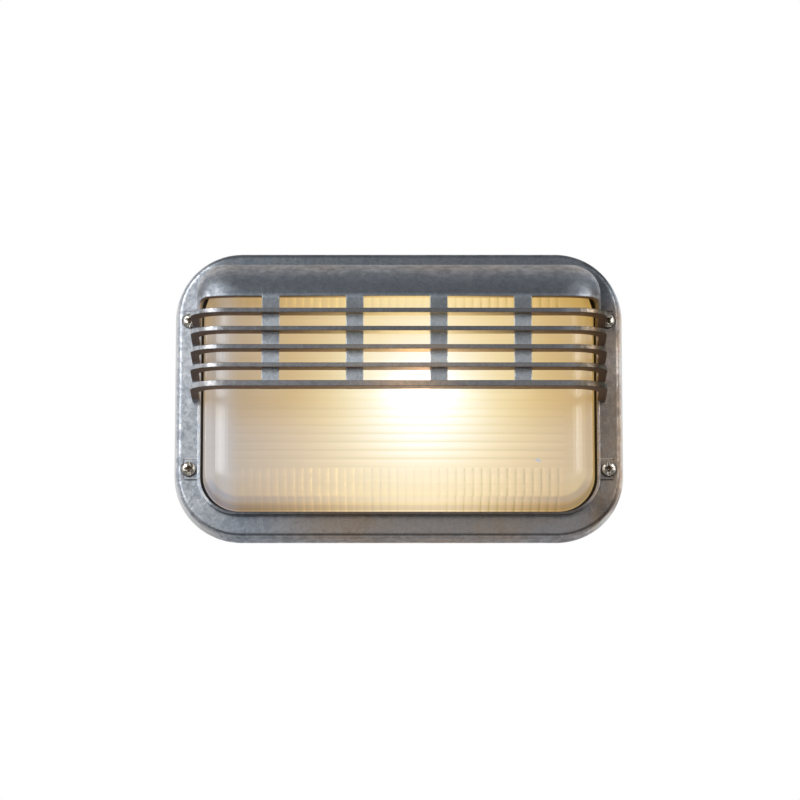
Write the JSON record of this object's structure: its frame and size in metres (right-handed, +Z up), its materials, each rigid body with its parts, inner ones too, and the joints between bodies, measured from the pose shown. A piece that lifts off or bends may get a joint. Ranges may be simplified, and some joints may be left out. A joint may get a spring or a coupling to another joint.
{
  "type": "outdoor wall light",
  "caption": "Rectangular cast wall light with a louvred half visor over a domed prismatic glass, screwed to a tapered back box with a rear cable entry.",
  "frame": {"origin": "centre of the back box's flat back face, where it meets the wall", "axes": "+Y into the wall, so the light faces -Y; +Z up; +X to the right of someone who looks at the light"},
  "size_m": [0.25, 0.092, 0.164],
  "materials": {
    "raw_cast_aluminium": "raw cast, mottled satin with darker bluish and brownish stains",
    "warm_lit_glass": "pressed prismatic, glossy outside, glowing warm from the lamp behind",
    "black_rubber": "matt",
    "zinc_plated_steel": "zinc plated",
    "bright_screw_steel": "bright, lightly tarnished",
    "box_aluminium": "raw cast, satin",
    "white_enamel": "gloss white enamel",
    "holder_ceramic": "glazed ceramic",
    "contact_brass": "plain brass",
    "lamp_opal_glass": "opal globe, lit",
    "block_nylon": "natural nylon",
    "brown_wire": "brown insulation",
    "blue_wire": "blue insulation",
    "green_yellow_wire": "green insulation with a yellow stripe"
  },
  "bodies": {
    "root": {"front_casting": "raw_cast_aluminium", "prismatic_glass": "warm_lit_glass", "glass_gasket": "black_rubber", "glass_clips": "zinc_plated_steel", "glass_clip_screws": "zinc_plated_steel", "front_screw_upper_left": "bright_screw_steel", "front_screw_upper_right": "bright_screw_steel", "front_screw_lower_left": "bright_screw_steel", "front_screw_lower_right": "bright_screw_steel", "front_screw_washers": "black_rubber", "body_gasket": "black_rubber", "back_box": "box_aluminium", "cable_grommet": "black_rubber", "fixing_hole_seals": "black_rubber", "reflector_pan": "white_enamel", "pan_screws": "zinc_plated_steel", "holder_bracket": "zinc_plated_steel", "bracket_screws": "zinc_plated_steel", "lampholder_body": "holder_ceramic", "lampholder_shell": "contact_brass", "lampholder_contact": "contact_brass", "lampholder_screws": "zinc_plated_steel", "lamp": "lamp_opal_glass", "terminal_block": "block_nylon", "terminal_clamps": "contact_brass", "terminal_fixing_screw": "zinc_plated_steel", "earth_screw": "contact_brass", "earth_washer": "zinc_plated_steel", "live_lead": "brown_wire", "neutral_lead": "blue_wire", "earth_lead": "green_yellow_wire"}
  },
  "joints": []
}
